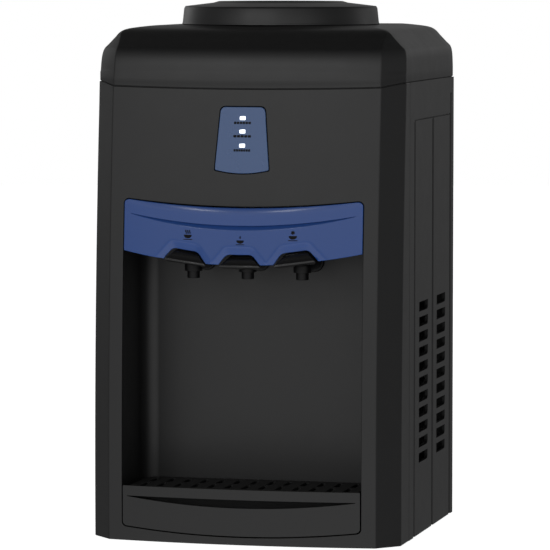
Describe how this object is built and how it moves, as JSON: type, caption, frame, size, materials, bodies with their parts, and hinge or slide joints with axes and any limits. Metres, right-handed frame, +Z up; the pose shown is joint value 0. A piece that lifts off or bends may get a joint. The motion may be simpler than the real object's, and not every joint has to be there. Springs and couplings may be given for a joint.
{
  "type": "countertop water dispenser",
  "caption": "Countertop water dispenser with press taps over a recessed bay, pull-out drip tray and a collar that seats an inverted bottle.",
  "frame": {"origin": "on the counter, under the centre of the body's bounding box", "axes": "+Z up, the taps face -Y, +X to the right of someone facing the taps"},
  "size_m": [0.3, 0.274, 0.513],
  "materials": {
    "black_shell": "satin",
    "blue_plastic": "satin gloss",
    "lit_window": "translucent, lit",
    "black_gloss": "semi gloss",
    "rubber": "matte",
    "silicone": "translucent satin",
    "natural_plastic": "satin",
    "stainless": "satin",
    "galvanised": "galvanised",
    "aluminium": "extruded",
    "white_foam": "foam",
    "ceramic": "unglazed ceramic",
    "green_board": "solder mask",
    "heater_steel": "heat tinted",
    "red_rocker": "gloss",
    "blue_rocker": "gloss"
  },
  "bodies": {
    "root": {"front_panel": "black_shell", "left_side_panel": "black_shell", "right_side_panel": "black_shell", "rear_panel": "black_shell", "top_cover": "black_shell", "bay_liner": "black_shell", "tap_fascia": "blue_plastic", "indicator_panel": "blue_plastic", "led_window_hot": "lit_window", "led_window_natural": "lit_window", "led_window_cold": "lit_window", "hot_tap_body": "black_gloss", "natural_tap_body": "black_gloss", "cold_tap_body": "black_gloss", "fan_frame": "black_gloss", "hot_switch_body": "black_gloss", "cold_switch_body": "black_gloss", "foot_front_left": "rubber", "foot_front_right": "rubber", "foot_rear_left": "rubber", "foot_rear_right": "rubber", "cord_gland": "rubber", "natural_hose": "silicone", "cold_hose": "silicone", "hot_hose": "silicone", "cold_tank_lid": "natural_plastic", "drain_spout": "natural_plastic", "cold_tank": "stainless", "hot_tank": "stainless", "hot_lever_pin": "stainless", "natural_lever_pin": "stainless", "cold_lever_pin": "stainless", "hot_tap_spring": "stainless", "natural_tap_spring": "stainless", "cold_tap_spring": "stainless", "base_pan": "galvanised", "tank_shelf": "galvanised", "cold_block": "aluminium", "heat_sink": "aluminium", "cold_tank_insulation": "white_foam", "peltier_module": "ceramic", "indicator_board": "green_board", "power_board": "green_board", "heater_band": "heater_steel"},
    "bottle_seat": {"bottle_collar": "black_shell", "neck_funnel": "natural_plastic", "neck_gasket": "silicone", "feed_spike": "natural_plastic"},
    "hot_lever": {"hot_tap_lever": "black_gloss"},
    "hot_plunger": {"hot_valve_plunger": "natural_plastic"},
    "natural_lever": {"natural_tap_lever": "black_gloss"},
    "natural_plunger": {"natural_valve_plunger": "natural_plastic"},
    "cold_lever": {"cold_tap_lever": "black_gloss"},
    "cold_plunger": {"cold_valve_plunger": "natural_plastic"},
    "drip_tray": {"drip_tray": "black_shell"},
    "drip_grille": {"drip_grille": "black_shell"},
    "fan": {"fan_rotor": "black_gloss"},
    "hot_rocker": {"hot_switch_rocker": "red_rocker"},
    "cold_rocker": {"cold_switch_rocker": "blue_rocker"},
    "drain_cap": {"drain_cap": "natural_plastic"}
  },
  "joints": [
    {"name": "hot_lever_press", "type": "hinge", "parent": "root", "child": "hot_lever", "pos_m": [-0.0532, -0.079, 0.2835], "axis": [1, 0, 0], "range_deg": [0, 10], "stiffness_Nm_per_rad": 0.8, "springref_deg": -14.32},
    {"name": "natural_lever_press", "type": "hinge", "parent": "root", "child": "natural_lever", "pos_m": [0, -0.079, 0.2835], "axis": [1, 0, 0], "range_deg": [0, 10], "stiffness_Nm_per_rad": 0.8, "springref_deg": -14.32},
    {"name": "cold_lever_press", "type": "hinge", "parent": "root", "child": "cold_lever", "pos_m": [0.0532, -0.079, 0.2835], "axis": [1, 0, 0], "range_deg": [0, 10], "stiffness_Nm_per_rad": 0.8, "springref_deg": -14.32},
    {"name": "hot_plunger_travel", "type": "slide", "parent": "root", "child": "hot_plunger", "axis": [0, 0, -1], "range_m": [0, 0.0037], "deforming": ["hot_tap_spring"]},
    {"name": "natural_plunger_travel", "type": "slide", "parent": "root", "child": "natural_plunger", "axis": [0, 0, -1], "range_m": [0, 0.0037], "deforming": ["natural_tap_spring"]},
    {"name": "cold_plunger_travel", "type": "slide", "parent": "root", "child": "cold_plunger", "axis": [0, 0, -1], "range_m": [0, 0.0037], "deforming": ["cold_tap_spring"]},
    {"name": "drip_tray_slide", "type": "slide", "parent": "root", "child": "drip_tray", "axis": [0, -1, 0], "range_m": [0, 0.1]},
    {"name": "drip_grille_lift", "type": "slide", "parent": "drip_tray", "child": "drip_grille", "axis": [0, 0, 1], "range_m": [0, 0.03]},
    {"name": "bottle_seat_lift", "type": "slide", "parent": "root", "child": "bottle_seat", "axis": [0, 0, 1], "range_m": [0, 0.09]},
    {"name": "fan_spin", "type": "hinge", "parent": "root", "child": "fan", "pos_m": [0, 0.1183, 0.345], "axis": [0, 1, 0], "continuous": true},
    {"name": "hot_switch_rock", "type": "hinge", "parent": "root", "child": "hot_rocker", "pos_m": [-0.078, 0.1267, 0.255], "axis": [-1, 0, 0], "range_deg": [0, 18]},
    {"name": "cold_switch_rock", "type": "hinge", "parent": "root", "child": "cold_rocker", "pos_m": [-0.112, 0.1267, 0.255], "axis": [-1, 0, 0], "range_deg": [0, 18]},
    {"name": "drain_cap_removal", "type": "slide", "parent": "root", "child": "drain_cap", "axis": [0, 1, 0], "range_m": [0, 0.02]}
  ],
  "couplings": [
    {"joint": "hot_plunger_travel", "follows": "hot_lever_press", "m_per_rad": 0.021},
    {"joint": "natural_plunger_travel", "follows": "natural_lever_press", "m_per_rad": 0.021},
    {"joint": "cold_plunger_travel", "follows": "cold_lever_press", "m_per_rad": 0.021}
  ]
}
